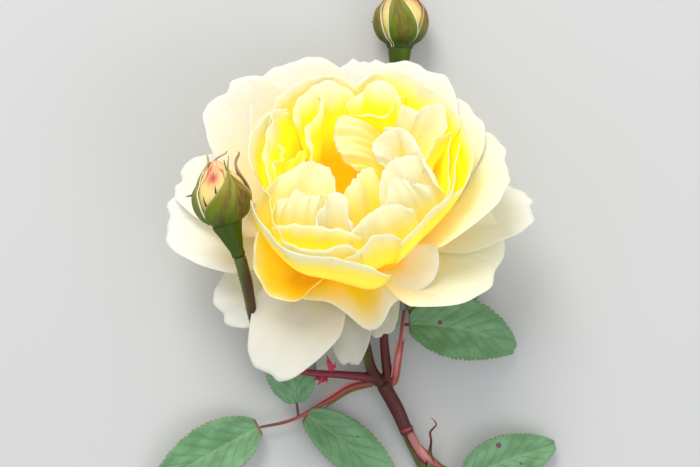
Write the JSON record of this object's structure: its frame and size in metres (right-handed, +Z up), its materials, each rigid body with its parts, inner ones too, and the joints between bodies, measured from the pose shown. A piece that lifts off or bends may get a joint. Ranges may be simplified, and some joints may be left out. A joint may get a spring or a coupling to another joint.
{
  "type": "flowering rose branch",
  "caption": "Cut branch of a yellow garden rose lying flat, with a wide open double bloom, buds, red stems and toothed leaflets.",
  "frame": {"origin": "centre of the footprint, on the level surface that the branch lies on", "axes": "+Y from the cut end of the stem towards the top bud, +Z up, the way the open bloom faces"},
  "size_m": [0.1384, 0.1947, 0.0691],
  "materials": {
    "petal": "matte, soft and thin",
    "bud_petal": "satin",
    "sepal": "matte",
    "stem": "satin",
    "stalk": "satin",
    "leaf": "matte"
  },
  "bodies": {
    "root": {"bloom": "petal", "left_bud_petals": "bud_petal", "top_bud_petals": "bud_petal", "bloom_calyx": "sepal", "left_bud_calyx": "sepal", "top_bud_calyx": "sepal", "cane": "stem", "bloom_pedicel": "stem", "top_bud_pedicel": "stem", "left_bud_pedicel": "stem", "left_leaf_stalk": "stalk", "right_leaf_stalk": "stalk", "lower_leaf_stalk": "stalk", "upper_bract": "stalk", "lower_bract": "stalk", "node_bract": "stalk", "left_leaf_tip": "leaf", "left_leaf_lower": "leaf", "left_leaf_upper": "leaf", "right_leaf_side": "leaf", "right_leaf_tip": "leaf", "right_leaf_inner": "leaf", "lower_leaf_side": "leaf", "lower_leaf_tip": "leaf", "lower_leaf_inner": "leaf"}
  },
  "joints": []
}
